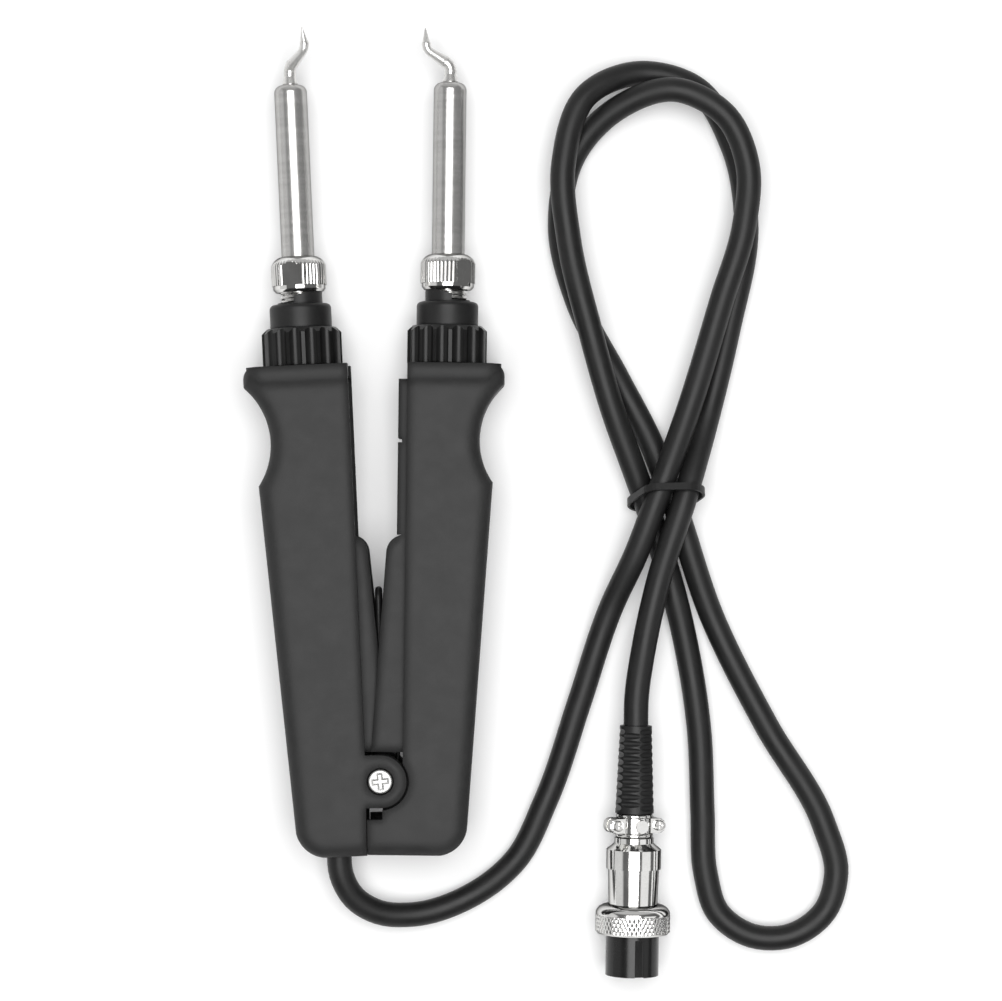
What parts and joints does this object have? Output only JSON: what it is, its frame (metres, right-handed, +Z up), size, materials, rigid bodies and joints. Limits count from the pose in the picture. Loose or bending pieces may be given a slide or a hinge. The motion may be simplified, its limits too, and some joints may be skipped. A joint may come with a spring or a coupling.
{
  "type": "soldering tweezers",
  "caption": "Hinged hot tweezers for surface-mount soldering: hollow shell arms, heated barrels with bent tips, a torsion-sprung pivot, and a tied cable ending in a round multi-pin plug.",
  "frame": {"origin": "on the pivot axis, on the flat back faces that the tool rests on", "axes": "+Y along the tool towards the tips, +X towards the right arm, +Z up, out of the front faces"},
  "size_m": [0.1495, 0.238, 0.0222],
  "materials": {
    "shell_black": "fine grained moulding",
    "collar_black": "fine grained moulding",
    "nose_black": "smooth moulding",
    "rubber_black": "satin",
    "tie_black": "plain",
    "nickel": "bright plated",
    "barrel_steel": "heat tinted satin",
    "tip_iron": "plated, tinned at the point",
    "steel": "satin",
    "brass": "turned",
    "copper": "turned copper",
    "ceramic": "fired ceramic",
    "lead_red": "lead sleeve",
    "insert_black": "moulded insulator"
  },
  "bodies": {
    "left_arm": {"left_shell": "shell_black", "left_cover": "shell_black", "left_cover_screws": "steel", "left_nose": "nose_black", "left_bush": "steel", "left_barrel": "barrel_steel", "left_core": "copper", "left_heater": "ceramic", "left_leads": "lead_red", "pivot_screw": "nickel", "pivot_tube": "steel", "pivot_insert": "brass", "torsion_spring": "steel", "crossover_lead": "rubber_black", "cable_clamp": "shell_black", "cable_clamp_screws": "steel", "cable": "rubber_black", "cable_tie": "tie_black", "plug_boot": "rubber_black", "plug_clamp": "nickel", "plug_clamp_screws": "steel", "plug_sleeve": "nickel", "plug_insert": "insert_black", "plug_contacts": "brass"},
    "right_arm": {"right_shell": "shell_black", "right_cover": "shell_black", "right_cover_screws": "steel", "right_nose": "nose_black", "right_bush": "steel", "right_barrel": "barrel_steel", "right_core": "copper", "right_heater": "ceramic", "right_leads": "lead_red"},
    "left_tip": {"left_tip": "tip_iron"},
    "right_tip": {"right_tip": "tip_iron"},
    "left_nut": {"left_nut": "nickel"},
    "right_nut": {"right_nut": "nickel"},
    "left_collar": {"left_collar": "collar_black"},
    "right_collar": {"right_collar": "collar_black"},
    "plug_ring": {"plug_ring": "nickel"}
  },
  "joints": [
    {"name": "squeeze", "type": "hinge", "parent": "left_arm", "child": "right_arm", "pos_m": [0, 0, 0.0105], "axis": [0, 0, 1], "range_deg": [0, 8.1], "stiffness_Nm_per_rad": 1.75, "springref_deg": -4.93, "deforming": ["torsion_spring"]},
    {"name": "left_tip_turn", "type": "hinge", "parent": "left_arm", "child": "left_tip", "pos_m": [-0.01499, -0.00043, 0.0105], "axis": [-0.0288, 0.9996, 0], "range_deg": [-44, 46]},
    {"name": "right_tip_turn", "type": "hinge", "parent": "right_arm", "child": "right_tip", "pos_m": [0.01499, -0.00043, 0.0105], "axis": [-0.0288, -0.9996, 0], "range_deg": [-90, 0]},
    {"name": "left_nut_turn", "type": "hinge", "parent": "left_arm", "child": "left_nut", "pos_m": [-0.01499, -0.00043, 0.0105], "axis": [-0.0288, 0.9996, 0], "continuous": true},
    {"name": "right_nut_turn", "type": "hinge", "parent": "right_arm", "child": "right_nut", "pos_m": [0.01499, -0.00043, 0.0105], "axis": [0.0288, 0.9996, 0], "continuous": true},
    {"name": "left_collar_turn", "type": "hinge", "parent": "left_arm", "child": "left_collar", "pos_m": [-0.01499, -0.00043, 0.0105], "axis": [-0.0288, 0.9996, 0], "continuous": true},
    {"name": "right_collar_turn", "type": "hinge", "parent": "right_arm", "child": "right_collar", "pos_m": [0.01499, -0.00043, 0.0105], "axis": [0.0288, 0.9996, 0], "continuous": true},
    {"name": "plug_ring_turn", "type": "hinge", "parent": "left_arm", "child": "plug_ring", "pos_m": [0.0638, 0.012, 0.0094], "axis": [0.0333, 0.9994, 0], "continuous": true}
  ]
}
